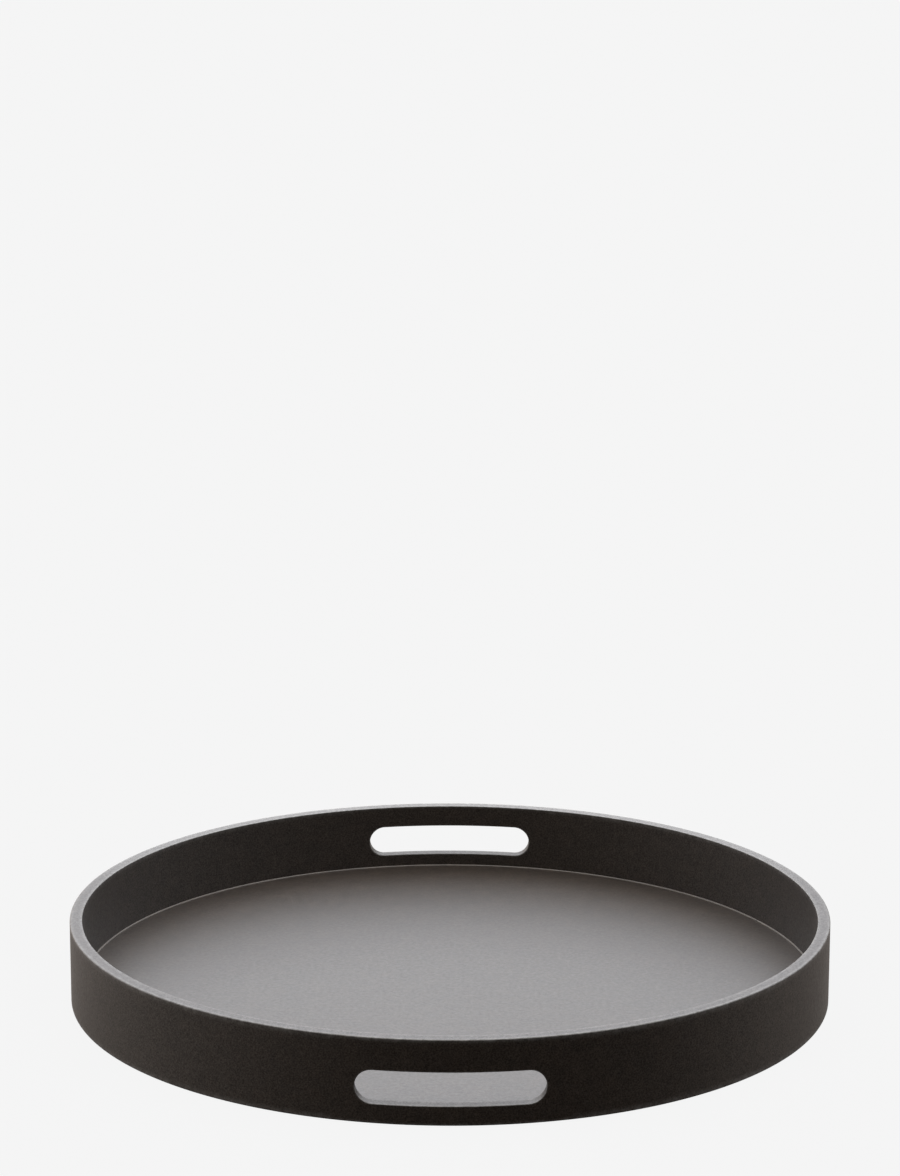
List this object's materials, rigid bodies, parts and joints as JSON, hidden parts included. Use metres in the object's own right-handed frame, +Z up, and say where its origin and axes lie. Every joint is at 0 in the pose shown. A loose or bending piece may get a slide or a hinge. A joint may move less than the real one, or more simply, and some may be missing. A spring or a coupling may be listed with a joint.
{
  "type": "serving tray",
  "caption": "Round serving tray: a flat floor inside a plain upright hoop with a stadium-shaped hand slot through the wall at the front and the rear.",
  "frame": {"origin": "on the surface that the tray stands on, under the tray's centre", "axes": "+Z up out of the tray, +Y towards the rear hand slot, +X to the right seen from the front"},
  "size_m": [0.46, 0.46, 0.0505],
  "materials": {
    "black_lacquered_hoop": "satin black lacquer with a fine grain, over laminated wood",
    "base_board": "bare board, sealed inside the tray",
    "floor_laminate": "satin black laminate with a fine leather-like grain",
    "bead_lacquer": "satin black strip, slightly worn",
    "backing_sheet": "dull black backing laminate",
    "pin_steel": "bright drawn wire",
    "foot_rubber": "dull black elastomer"
  },
  "bodies": {
    "root": {"wall_outer_ply": "black_lacquered_hoop", "wall_core_ply": "black_lacquered_hoop", "wall_inner_ply": "black_lacquered_hoop", "base_panel": "base_board", "floor_sheet": "floor_laminate", "floor_edge_bead": "bead_lacquer", "base_backing": "backing_sheet", "base_pins": "pin_steel", "foot_front_left": "foot_rubber", "foot_front_right": "foot_rubber", "foot_rear_left": "foot_rubber", "foot_rear_right": "foot_rubber"}
  },
  "joints": []
}
